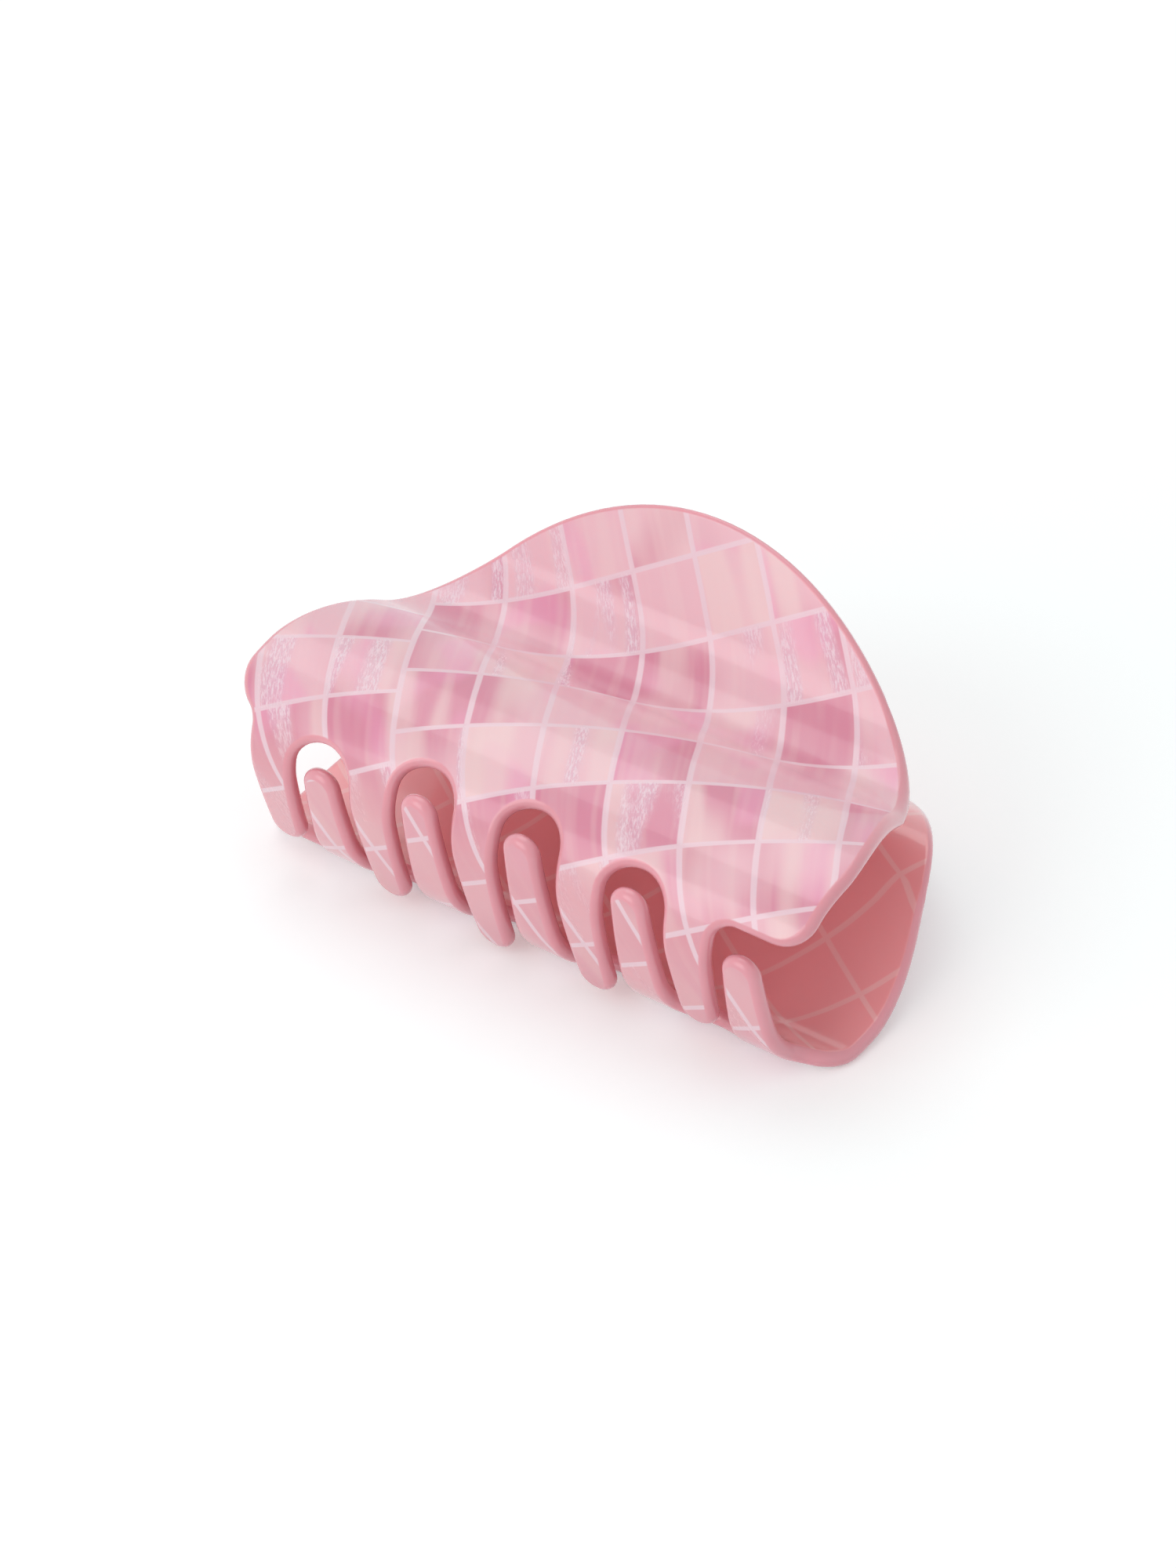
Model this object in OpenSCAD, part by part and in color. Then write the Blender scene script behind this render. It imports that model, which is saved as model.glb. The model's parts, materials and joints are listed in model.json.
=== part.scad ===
// Claw clip of bent acetate sheet, lying on its rear jaw.
// X runs along the hinge, +Y towards the handles, +Z up.
// Both jaws are the same part: the rear one is the front one turned half a turn.

/* [Sheet] */
// Length of a jaw along the hinge
clip_len = 100; // [96:1:120]
// Thickness of the sheet
sheet_t = 2.4; // [1.8:0.1:3.2]
// Distance from the hinge axis to the outer face at the waist
waist_half = 7; // [6.2:0.1:8.4]

/* [Jaw profile] */
// Outer radius of the waist bend
waist_r = 10.8; // [8:0.2:14]
// Angle between the handle and the clip's middle plane
handle_angle = 53; // [44:1:60]
// Angle at which the sheet leaves the waist for the belly
flare_angle = 38.5; // [32:0.5:44]
// Outer radius of the belly
belly_r = 28.8; // [24:0.2:34]
// Angle that the belly turns past its widest line
belly_turn = 6.6; // [4:0.2:12]
// Outer radius of the bend above the teeth
bend_r = 12.3; // [10:0.1:15]
// Angle that the teeth make with the middle plane where they leave the bend
tooth_angle = 88; // [80:0.5:92]
// Radius of the teeth along their length
tooth_r = 90; // [60:5:300]

/* [Jaw outline] */
// Length of sheet from the waist to the top of the handle
handle_len = 25.4; // [21:0.1:30]
// Length of sheet from the waist to the widest line of the outline
widest_len = 26; // [22:0.1:28]
// Length of sheet from the waist to the foot of the shoulder
shoulder_len = 38.8; // [36:0.1:42]
// Corner radius of the shoulder beside the end tooth
tooth_side_r = 8; // [5:0.5:9]
// Corner radius of the shoulder at the open end
open_side_r = 5; // [3:0.5:7]

/* [Teeth] */
// Number of teeth on each jaw
tooth_count = 5; // [3:1:5]
// Distance between two teeth of a jaw
tooth_pitch = 18.2; // [16:0.1:19]
// Width of the notch between two teeth
notch_w = 9.8; // [9:0.1:13]
// Width of a tooth at its round tip
tip_w = 5.6; // [3.6:0.1:6]
// Length of sheet from the waist to the tip of a middle tooth
tip_len = 63.9; // [58:0.1:70]
// Length of sheet from the waist to the top of a middle notch
notch_len = 34.5; // [31:0.1:38]
// Fillet beside the end teeth
root_fillet = 3; // [1:0.5:4]

/* [Hinge] */
// Width of a hinge lug along the pin
lug_t = 4; // [3:0.1:5]
// Half the width of a lug where it is bonded to the sheet
lug_foot = 5.2; // [4.5:0.1:6]
// Distance between the two inner lugs
spring_bay = 16; // [13:0.5:20]
// Radius of the hinge pin
pin_r = 1.2; // [1:0.05:1.4]
// Radius of the pin's head
head_r = 2.3; // [2:0.1:2.7]
// Thickness of the pin's head
head_t = 1; // [0.8:0.1:1.5]
// Length of the push-on cap
cap_len = 2.6; // [2:0.1:4]

/* [Spring] */
// Thickness of the spring wire
wire_d = 1; // [0.8:0.05:1.1]
// Number of whole turns in the coil, which ends half a turn later
coil_turns = 11; // [6:1:12]
// Length of the straight end of each leg along the handle
leg_len = 8; // [5:0.5:12]

/* [Fits] */
// Radial clearance of the pin in the front jaw's lugs
pin_clear = 0.05; // [0.02:0.01:0.1]
// Radial squeeze of the pin in the rear jaw's lugs and in the cap
pin_press = 0.01; // [0.005:0.005:0.02]
// Gap between neighbouring lugs, and between a lug and the cap
side_gap = 0.4; // [0.2:0.1:0.8]
// Gap between a lug's eye and the other jaw
eye_gap = 0.4; // [0.3:0.1:0.6]
// Gap between the spring and what it lies beside
wire_gap = 0.15; // [0.1:0.05:0.3]

/* [Hidden] */
tile_pink = [0.93, 0.70, 0.74];
plain_pink = [0.91, 0.60, 0.62];
steel = [0.75, 0.76, 0.78];

deg = 180 / PI;
far = 3 * clip_len;
half_len = clip_len / 2;

// The rise and fall of the notch tops and tips along the jaw, per square millimetre
notch_arch = 0.00385;
tip_arch = 0.0033;
// Directions in which the handle outline and the comb are cut through the sheet
outline_view = 20;
// How full the handle's oval is: 1 is an ellipse, and more is nearer to a wedge
oval_power = 1.25;
// How far the oval lies to the left of the clip's middle
oval_aside = 1.3;
comb_view = 65;

// A point of the profile is [along the handle, outwards]; a heading is 0 straight
// down towards the teeth, and grows outwards.
function normal(a) = [sin(a), cos(a)];
function swept(p, a, b, r, k) = p + k * r * [sin(a) - sin(b), cos(a) - cos(b)];

// Where each stretch of the outer face starts, with its length of sheet from the waist
waist_p = [0, waist_half];
handle_start = waist_r * handle_angle / deg;
handle_p = swept(waist_p, 0, -handle_angle, waist_r, 1);
handle_dir = [cos(handle_angle), sin(handle_angle)];
flare_p = swept(waist_p, 0, flare_angle, waist_r, 1);
flare_len = waist_r * flare_angle / deg;
bend_p = swept(flare_p, flare_angle, -belly_turn, belly_r, -1);
bend_len = flare_len + belly_r * (flare_angle + belly_turn) / deg;
tooth_p = swept(bend_p, -belly_turn, -tooth_angle, bend_r, -1);
tooth_len = bend_len + bend_r * (tooth_angle - belly_turn) / deg;
// The profile is drawn a little past both ends, which the outlines then cut
profile_spare = 10;
profile_steps = 76;
profile_step = (tip_len + profile_spare + handle_start) / profile_steps;
profile_stops = concat([-handle_len - profile_spare],
    [for (i = [0:profile_steps]) -handle_start + i * profile_step]);

// Heading of the outer face at a length of sheet l from the waist, towards the teeth
function heading(l) =
    l < -handle_start ? -handle_angle :
    l < flare_len ? l / waist_r * deg :
    l < bend_len ? flare_angle - (l - flare_len) / belly_r * deg :
    l < tooth_len ? -belly_turn - (l - bend_len) / bend_r * deg :
    -tooth_angle - (l - tooth_len) / tooth_r * deg;

// Point of the outer face there
function face_at(l) =
    l < -handle_start ? handle_p + (-l - handle_start) * handle_dir :
    l < flare_len ? swept(waist_p, 0, heading(l), waist_r, 1) :
    l < bend_len ? swept(flare_p, flare_angle, heading(l), belly_r, -1) :
    l < tooth_len ? swept(bend_p, -belly_turn, heading(l), bend_r, -1) :
    swept(tooth_p, -tooth_angle, heading(l), tooth_r, -1);

// Height of that point when the jaw is looked at along a view direction
function seen(l, view) = face_at(l) * [cos(view), sin(view)];

// Middle of the row of teeth
comb_x = -tooth_pitch / 4;
tooth_x = [for (i = [0:tooth_count - 1]) comb_x + (i - (tooth_count - 1) / 2) * tooth_pitch];
notch_x = [for (i = [0:tooth_count - 2]) tooth_x[i] + tooth_pitch / 2];
notch_r = notch_w / 2;
tip_r = tip_w / 2;
root_half = tooth_pitch / 2 - notch_r;
function tip_y(x) = seen(tip_len - tip_arch * pow(x - comb_x, 2), comb_view) + tip_r;
function notch_y(x) = seen(notch_len + notch_arch * x * x, comb_view) - notch_r;
shoulder_y = seen(shoulder_len, comb_view);

// Turns a flat shape so that its X and Y become Y and Z, and its depth X
module across() {
    rotate([90, 0, 90]) children();
}

module block(x0, x1, y0, y1) {
    translate([x0, y0]) square([x1 - x0, y1 - y0]);
}

// Cut through the sheet: the outer face, then the inner face back again
module profile() {
    outer = [for (l = profile_stops) face_at(l)];
    inner = [for (l = profile_stops) face_at(l) - sheet_t * normal(heading(l))];
    polygon(concat(outer, [for (i = [len(inner) - 1:-1:0]) inner[i]]));
}

// Half an oval over the handle and belly, open towards the teeth
module handle_outline() {
    low = seen(widest_len, outline_view);
    rise = seen(-handle_len, outline_view) - low;
    step = 5;
    function aside(t) = oval_aside * (abs(cos(t)) > cos(45) ? pow(sin(2 * t), 2) : 1);
    function edge(t) = [half_len * cos(t) - aside(t), low + rise * pow(sin(t), oval_power)];
    polygon(concat([[half_len, -far]], [for (t = [0:step:180]) edge(t)], [[-half_len, -far]]));
}

module tooth(x) {
    y = tip_y(x);
    top = shoulder_y + tooth_side_r;
    lean = (root_half - tip_r) / (notch_y(x) - y);
    half = tip_r + lean * (top - y);
    polygon([[x - tip_r, y], [x + tip_r, y], [x + half, top], [x - half, top]]);
    translate([x, y]) circle(r = tip_r, $fn = 48);
}

// Fills the inside corner between the open side's foot and the tooth side at x
module foot_fillet(x, y) {
    difference() {
        block(x, x + root_fillet, y - root_fillet, y);
        translate([x + root_fillet, y - root_fillet]) circle(r = root_fillet, $fn = 48);
    }
}

// Fills the inside corner between the tooth side at x and the shoulder, which is round
// about c and straight from there on
module shoulder_fillet(x, c) {
    reach = tooth_side_r + root_fillet;
    k = [max(c[0], x - root_fillet), c[1]];
    run = x - root_fillet - k[0];
    f = [k[0] + run, k[1] - sqrt(reach * reach - run * run)];
    touch = k + (f - k) * tooth_side_r / reach;
    inside = max(k[0], x) + root_half;
    difference() {
        polygon([k, touch, f, [inside, f[1]], [inside, k[1]]]);
        translate(f) circle(r = root_fillet, $fn = 48);
    }
}

module notch(i) {
    x = notch_x[i];
    y = notch_y(x);
    left = tooth_x[i] + tip_r;
    right = tooth_x[i + 1] - tip_r;
    left_y = tip_y(tooth_x[i]);
    right_y = tip_y(tooth_x[i + 1]);
    foot = min(left_y, right_y) - far;
    translate([x, y]) circle(r = notch_r, $fn = 64);
    polygon([[x - notch_r, y], [left, left_y], [left, foot], [right, foot], [right, right_y],
        [x + notch_r, y]]);
}

// The teeth with the body above them, as seen along the comb's view
module comb() {
    shoulder_c = [-half_len + tooth_side_r, shoulder_y + tooth_side_r];
    difference() {
        union() {
            block(-far, far, shoulder_y + tooth_side_r, far);
            block(-half_len + tooth_side_r, far, shoulder_y + open_side_r, far);
            block(-half_len + tooth_side_r, half_len - open_side_r, shoulder_y, far);
            translate(shoulder_c) circle(r = tooth_side_r, $fn = 64);
            translate([half_len - open_side_r, shoulder_y + open_side_r])
                circle(r = open_side_r, $fn = 64);
            shoulder_fillet(tooth_x[0] - root_half, shoulder_c);
            foot_fillet(tooth_x[tooth_count - 1] + root_half, shoulder_y);
            for (x = tooth_x) tooth(x);
        }
        for (i = [0:tooth_count - 2]) notch(i);
    }
}

module seen_from(view) {
    rotate([view, 0, 0]) linear_extrude(height = far, center = true) children();
}

module jaw() {
    intersection() {
        across() linear_extrude(height = 2 * clip_len, center = true) profile();
        seen_from(outline_view) handle_outline();
        seen_from(comb_view) comb();
    }
}

// Hinge lugs: an eye on the pin, with a foot shaped to the inside of the sheet
inner_w = waist_half - sheet_t;
eye_r = inner_w - eye_gap;
inner_lug_x = spring_bay / 2 + lug_t / 2;
outer_lug_x = inner_lug_x + lug_t + side_gap;
cap_x = outer_lug_x + lug_t / 2 + side_gap;
head_x = -outer_lug_x - lug_t / 2;

module lug(x, bore_r) {
    translate([x, 0, 0]) across() linear_extrude(height = lug_t, center = true) difference() {
        union() {
            circle(r = eye_r, $fn = 64);
            polygon([[-eye_r, 0], [eye_r, 0], [lug_foot, inner_w + sheet_t / 2],
                [-lug_foot, inner_w + sheet_t / 2]]);
        }
        profile();
        circle(r = bore_r, $fn = 48);
    }
}

// Torsion spring: a coil round the pin, and a leg along the inside of each handle
wire_r = wire_d / 2;
coil_r = eye_r - wire_r - wire_gap;
coil_len = spring_bay - 2 * side_gap - wire_d;
leg_r = waist_r + sheet_t + wire_gap + wire_r;
leg_rise = 12;

// The front leg, from its tip down to the coil, as [along the handle, outwards]
leg_arc = [for (a = [-handle_angle:6:-leg_rise]) [-leg_r * sin(a), waist_half + waist_r - leg_r * cos(a)]];
leg_end = leg_arc[0] + leg_len * handle_dir;
front_leg = concat([leg_end, (leg_end + leg_arc[0]) / 2], leg_arc);
turn_steps = 16;
coil_steps = (coil_turns + 0.5) * turn_steps;
function coil_point(i) = [coil_len * (i / coil_steps - 0.5), -coil_r * sin(360 * i / turn_steps),
    coil_r * cos(360 * i / turn_steps)];
wire_path = concat(
    [for (p = front_leg) [-coil_len / 2, p[0], p[1]]],
    [for (i = [0:coil_steps]) coil_point(i)],
    [for (i = [len(front_leg) - 1:-1:0]) [coil_len / 2, front_leg[i][0], -front_leg[i][1]]]);
wire_sides = 8;

function along(i) = wire_path[min(i + 1, len(wire_path) - 1)] - wire_path[max(i - 1, 0)];
function wire_ring(i) = let (
    t = along(i) / norm(along(i)),
    u = cross([1, 0, 0], t) / norm(cross([1, 0, 0], t)),
    v = cross(t, u)
) [for (k = [0:wire_sides - 1])
    wire_path[i] + wire_r * (cos(360 * k / wire_sides) * u + sin(360 * k / wire_sides) * v)];

module wire() {
    n = len(wire_path);
    m = wire_sides;
    polyhedron(
        points = [for (i = [0:n - 1]) each wire_ring(i)],
        faces = concat(
            [[for (k = [0:m - 1]) k]],
            [for (i = [0:n - 2]) for (k = [0:m - 1])
                [i * m + k, (i + 1) * m + k, (i + 1) * m + (k + 1) % m, i * m + (k + 1) % m]],
            [[for (k = [m - 1:-1:0]) (n - 1) * m + k]]),
        convexity = 10);
}

// The clip lies on the rear jaw's belly and the middle of its handle's edge
rest_tip = face_at(-handle_len);
rest_tilt = min([for (l = profile_stops) if (l > 0)
    atan2(rest_tip[1] - face_at(l)[1], rest_tip[0] - face_at(l)[0])]);
rest_height = rest_tip[1] * cos(rest_tilt) - rest_tip[0] * sin(rest_tilt);

// The origin is under the middle of the clip: halfway from the foremost part of either
// jaw to the rear handle's inner edge
back_edge = rest_tip + sheet_t / cos(handle_angle - outline_view) * [sin(outline_view), -cos(outline_view)];
function lying_y(p) = p[0] * cos(rest_tilt) + p[1] * sin(rest_tilt);
function front_y(side) = min([for (l = profile_stops) if (l > 0 && l <= tip_len)
    lying_y([face_at(l)[0], side * face_at(l)[1]])]);
rest_shift = -(lying_y(back_edge) + min(front_y(1), front_y(-1))) / 2;

module lying() {
    translate([0, rest_shift, rest_height]) rotate([rest_tilt, 0, 0]) children();
}

module rear() {
    rotate([0, 180, 0]) children();
}

module front_jaw() {
    color(tile_pink) lying() jaw();
}

module rear_jaw() {
    color(tile_pink) lying() rear() jaw();
}

module front_lug_left() {
    color(plain_pink) lying() lug(-inner_lug_x, pin_r + pin_clear);
}

module front_lug_right() {
    color(plain_pink) lying() lug(outer_lug_x, pin_r + pin_clear);
}

module rear_lug_left() {
    color(plain_pink) lying() rear() lug(outer_lug_x, pin_r - pin_press);
}

module rear_lug_right() {
    color(plain_pink) lying() rear() lug(-inner_lug_x, pin_r - pin_press);
}

module hinge_pin() {
    color(steel) lying() rotate([0, 90, 0]) {
        translate([0, 0, head_x]) cylinder(r = pin_r, h = cap_x + cap_len - head_t - head_x, $fn = 48);
        translate([0, 0, head_x - head_t]) cylinder(r = head_r, h = head_t, $fn = 48);
    }
}

module pin_cap() {
    color(steel) lying() translate([cap_x, 0, 0]) rotate([0, 90, 0]) difference() {
        cylinder(r = head_r, h = cap_len, $fn = 48);
        translate([0, 0, -1]) cylinder(r = pin_r - pin_press, h = cap_len - head_t + 1, $fn = 48);
    }
}

module spring() {
    color(steel) lying() wire();
}

front_jaw();
rear_jaw();
front_lug_left();
front_lug_right();
rear_lug_left();
rear_lug_right();
hinge_pin();
pin_cap();
spring();
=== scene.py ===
"""A claw clip of tiled pearl acetate: bent jaws, bonded lugs, hinge pin and torsion spring."""
import json
import math

import bmesh
import bpy
from mathutils import Matrix, Vector


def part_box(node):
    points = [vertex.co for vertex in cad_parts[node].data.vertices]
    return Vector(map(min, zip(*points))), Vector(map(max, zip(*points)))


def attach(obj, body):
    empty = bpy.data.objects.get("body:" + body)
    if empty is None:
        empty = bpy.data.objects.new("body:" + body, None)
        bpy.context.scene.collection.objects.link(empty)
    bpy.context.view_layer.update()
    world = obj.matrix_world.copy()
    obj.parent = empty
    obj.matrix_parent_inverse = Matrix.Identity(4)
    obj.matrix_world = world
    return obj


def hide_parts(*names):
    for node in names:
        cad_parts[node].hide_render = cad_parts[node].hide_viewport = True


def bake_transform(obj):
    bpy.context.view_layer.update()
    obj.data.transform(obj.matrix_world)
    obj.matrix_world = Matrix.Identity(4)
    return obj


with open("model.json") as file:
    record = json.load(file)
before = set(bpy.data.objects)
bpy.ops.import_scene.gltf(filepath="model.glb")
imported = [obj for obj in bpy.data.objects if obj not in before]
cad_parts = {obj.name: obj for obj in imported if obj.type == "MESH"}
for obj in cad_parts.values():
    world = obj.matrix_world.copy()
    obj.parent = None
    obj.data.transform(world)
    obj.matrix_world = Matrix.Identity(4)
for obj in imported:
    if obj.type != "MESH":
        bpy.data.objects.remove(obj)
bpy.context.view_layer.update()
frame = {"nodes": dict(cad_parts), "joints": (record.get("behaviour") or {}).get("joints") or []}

bl_info = {
    "name": "Claw Clip",
    "version": (1, 0, 0),
    "blender": (4, 5, 0),
    "location": "3D View > Sidebar > Claw Clip",
    "description": "Models a claw clip of tiled acetate around its packed frame",
    "category": "Add Mesh",
}

MM = 0.001
JOINT = frame["joints"][0]
HINGE = Vector(JOINT["pos_m"])

KEY_PLACE = (-0.30, 0.35, 0.95)
FILL_PLACE = (-0.20, -0.85, 0.50)
CORNER_SEGMENTS = 9
EDGE_STEPS = 6
OVAL_STEPS = 72
SPIN_STEPS = 48
COIL_STEPS = 20
LEG_BENDS = 7
LEG_END = math.radians(-17)
# Shares of a full rounding, so that two roundings never quite meet in one point
TIP_SHARE = 0.97
SHOULDER_SHARE = 0.98
# Edges that meet at more than this are rims
RIM_ANGLE = math.radians(50)


def length(name, about, default):
    """A size in metres, given here in millimetres."""
    return bpy.props.FloatProperty(name=name, description=about, default=default * MM,
                                   unit="LENGTH", subtype="DISTANCE", precision=5)


def turn(name, about, default):
    """An angle, given here in degrees."""
    return bpy.props.FloatProperty(name=name, description=about, default=math.radians(default),
                                   unit="ROTATION", subtype="ANGLE")


def amount(name, about, default):
    return bpy.props.FloatProperty(name=name, description=about, default=default)


def count(name, about, default):
    return bpy.props.IntProperty(name=name, description=about, default=default, min=1)


def linear(value):
    """One channel of a screen colour from 0 to 255, as a linear share."""
    share = value / 255
    return share / 12.92 if share <= 0.04045 else ((share + 0.055) / 1.055) ** 2.4


def colour(name, about, red, green, blue):
    """A colour given by its screen values from 0 to 255."""
    tint = [linear(v) for v in (red, green, blue)]
    return bpy.props.FloatVectorProperty(name=name, description=about, size=3, subtype="COLOR",
                                         min=0, max=1, default=tint)


# Sizes and colours

class ClipJawSizes(bpy.types.PropertyGroup):
    """The bent sheet that both jaws are cut from."""
    sheet: length("Sheet", "Thickness of the sheet", 2.4)
    waist_half: length("Waist half", "From the hinge axis to the outer face at the waist", 7)
    waist_r: length("Waist radius", "Outer radius of the waist bend", 10.8)
    handle_angle: turn("Handle angle", "Between the handle and the clip's middle plane", 53)
    flare_angle: turn("Flare angle", "At which the sheet leaves the waist for the belly", 38.5)
    belly_r: length("Belly radius", "Outer radius of the belly", 28.8)
    belly_turn: turn("Belly turn", "How far the belly turns past its widest line", 6.6)
    bend_r: length("Bend radius", "Outer radius of the bend above the teeth", 12.3)
    tooth_angle: turn("Tooth angle", "Of the teeth where they leave the bend", 88)
    tooth_r: length("Tooth radius", "Radius of the teeth along their length", 90)
    half_len: length("Half length", "Half of the clip's length along its hinge", 50)
    handle_len: length("Handle length", "Sheet from the waist to the handle's top", 25.4)
    handle_rise: length("Handle rise", "Added at the handle's top for its round rim", 0.2)
    widest_len: length("Widest length", "Sheet from the waist to the widest line", 26)
    shoulder_len: length("Shoulder length", "Sheet from the waist to the shoulder's foot", 38.8)
    oval_view: turn("Oval view", "Direction in which the handle is an oval", 20)
    oval_power: amount("Oval power", "1 is an ellipse, and more is nearer to a wedge", 1.25)
    oval_aside: length("Oval aside", "How far the oval lies to the left of the middle", 1.3)
    tooth_side_r: length("Tooth side radius", "Shoulder corner beside the end tooth", 8)
    open_side_r: length("Open side radius", "Shoulder corner at the open end", 5)
    root_fillet: length("Root fillet", "Fillet beside the end teeth", 3)
    tooth_count: count("Teeth", "Number of teeth on each jaw", 5)
    tooth_pitch: length("Tooth pitch", "Distance between two teeth", 18.2)
    notch_w: length("Notch width", "Width of the notch between two teeth", 9.8)
    tip_w: length("Tip width", "Width of a tooth at its round tip", 5.6)
    tip_len: length("Tip length", "Sheet from the waist to the middle tooth's tip", 63.9)
    notch_len: length("Notch length", "Sheet from the waist to a middle notch's top", 34.5)
    tip_arch: amount("Tip arch", "Fall of the tips towards the ends, per metre", 3.3)
    notch_arch: amount("Notch arch", "Fall of the notch tops towards the ends, per metre", 3.85)
    bend_step: length("Bend step", "Length of sheet between two cuts of the bent mesh", 0.9)


class ClipHingeSizes(bpy.types.PropertyGroup):
    """The pin, its cap and the spring round it."""
    lug_edge: length("Lug edge", "Rounding of a lug's rims", 0.35)
    pin_r: length("Pin radius", "Radius of the hinge pin", 1.2)
    head_dome: length("Head dome", "Rounding of the pin's head and of its cap", 0.5)
    wire: length("Wire", "Thickness of the spring wire", 1)
    wire_gap: length("Wire gap", "Between the spring and what it lies beside", 0.15)
    eye_gap: length("Eye gap", "Between a lug's eye and the other jaw", 0.4)
    coil_len: length("Coil length", "Along the pin, between the wire's middles", 14.2)
    coil_turns: count("Coil turns", "Whole turns; the coil ends half a turn later", 11)
    leg_len: length("Leg length", "Straight end of each leg along the handle", 8)


class ClipTiles(bpy.types.PropertyGroup):
    """The tile pattern in the sheet, measured on the flat."""
    pitch: length("Tile pitch", "Distance between two long lines", 10.64)
    ratio: amount("Tile ratio", "Length of a tile over the pitch", 1.1055)
    slant: turn("Slant", "Of the long lines to the length of the sheet", 30.5)
    column: amount("First column", "Tiles from the waist's middle to the first long line", 5.36)
    offset: length("Offset", "Between the two jaws' places on the sheet they are cut from", 41)
    row: amount("First row", "Tiles from the waist's middle to the first short line", 3.45)
    low_step: amount("Step", "Rows by which the short lines are set off", 0.58)
    end_step: amount("End step", "More rows for the two columns at the tooth end", 0.38)
    # Where the pearl thins out, the face goes partly to the acetate's plainer tone near the teeth
    # and partly to painted shade, darker where the bend turns from the light.
    line: length("Line", "Width of a pale line", 0.85)
    pearl_thin_and_shade_end: length("Pearl end", "Sheet from the waist to where the pearl thins out", 35)
    pearl_thin_and_shade_fade: length("Pearl fade", "Over which it thins out", 10)


class ClipColours(bpy.types.PropertyGroup):
    """Colours of the acetate and the steel."""
    rose: colour("Rose", "Ground of the deep tiles", 222, 138, 162)
    blush: colour("Blush", "Ground of the pale tiles", 240, 188, 199)
    cream: colour("Cream", "Pale bands along a tile", 244, 212, 210)
    lilac: colour("Lilac", "Cool bands along a tile", 224, 176, 198)
    # This grain colour is partly the pearl's own silver and partly a painted glint: whiter
    # streaks that stand in for light off the flakes.
    silver_and_glint: colour("Silver", "Grain in the cool bands", 250, 234, 240)
    magenta: colour("Magenta", "Bright clouds in a tile", 244, 160, 196)
    line: colour("Line", "Lines between tiles", 240, 208, 218)
    # Teeth colour: partly the plainer acetate near the teeth, partly painted shade of the bend
    # that turns away from the light.
    teeth: colour("Teeth", "Towards the teeth, where the pearl thins out", 232, 164, 172)
    rim: colour("Rim", "Cut and polished edge", 238, 160, 172)
    # Lining and lining line are set lighter than the inner face's own coral. This is painted
    # light: it makes up for the shade inside the bent sheet and stands in for light coming
    # through the acetate.
    lining: colour("Lining", "Inner face of the sheet", 252, 174, 178)
    lining_line: colour("Lining line", "Lines seen through the inner face", 252, 206, 206)
    plain: colour("Plain", "Plain acetate of the lugs", 214, 126, 134)
    steel: colour("Steel", "Pin and cap", 196, 197, 200)
    wire: colour("Wire", "Spring wire", 176, 178, 182)
    floor: colour("Floor", "Floor under the clip", 244, 250, 250)


class ClipView(bpy.types.PropertyGroup):
    """Camera, lamps and floor."""
    azimuth: turn("Azimuth", "Of the camera, from the teeth's side", 41.3)
    elevation: turn("Elevation", "Of the camera above the floor", 36.36)
    roll: turn("Roll", "Of the camera about its line of sight", -4.23)
    distance: length("Distance", "From the camera to the point it aims at", 682.6)
    aim: bpy.props.FloatVectorProperty(name="Aim", description="Point that the camera aims at",
                                       default=(-3.2 * MM, -6.5 * MM, 17.3 * MM),
                                       subtype="TRANSLATION", unit="LENGTH", precision=5)
    lens: amount("Lens", "Focal length in millimetres, for a 36 mm sensor", 113.75)
    floor: length("Floor", "Side of the square floor", 3000)
    key: amount("Key lamp", "Power of the lamp above the clip, in watts", 2.0)
    fill: amount("Fill lamp", "Power of the lamp before the teeth, in watts", 3.0)
    lamp_size: length("Lamp size", "Across each lamp's disc", 900)
    sky: amount("Sky", "Strength of the even light from all round", 0.6)
    glow: amount("Floor glow", "White added to the floor as the camera sees it", 0.25)


SETTINGS = (("jaw", ClipJawSizes), ("hinge", ClipHingeSizes), ("tiles", ClipTiles),
            ("colours", ClipColours), ("view", ClipView))


def settings(group):
    return getattr(bpy.context.scene, "clip_" + group)


# The jaw's profile: where a length of sheet lies once it is bent. A point is
# (along the handle, outwards) from the hinge, and a heading is 0 straight down.

def swept(start, angle, first, radius, side):
    """The end of an arc that turns from the heading first to the heading angle."""
    step = Vector((math.sin(angle) - math.sin(first), math.cos(angle) - math.cos(first)))
    return start + side * radius * step


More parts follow.
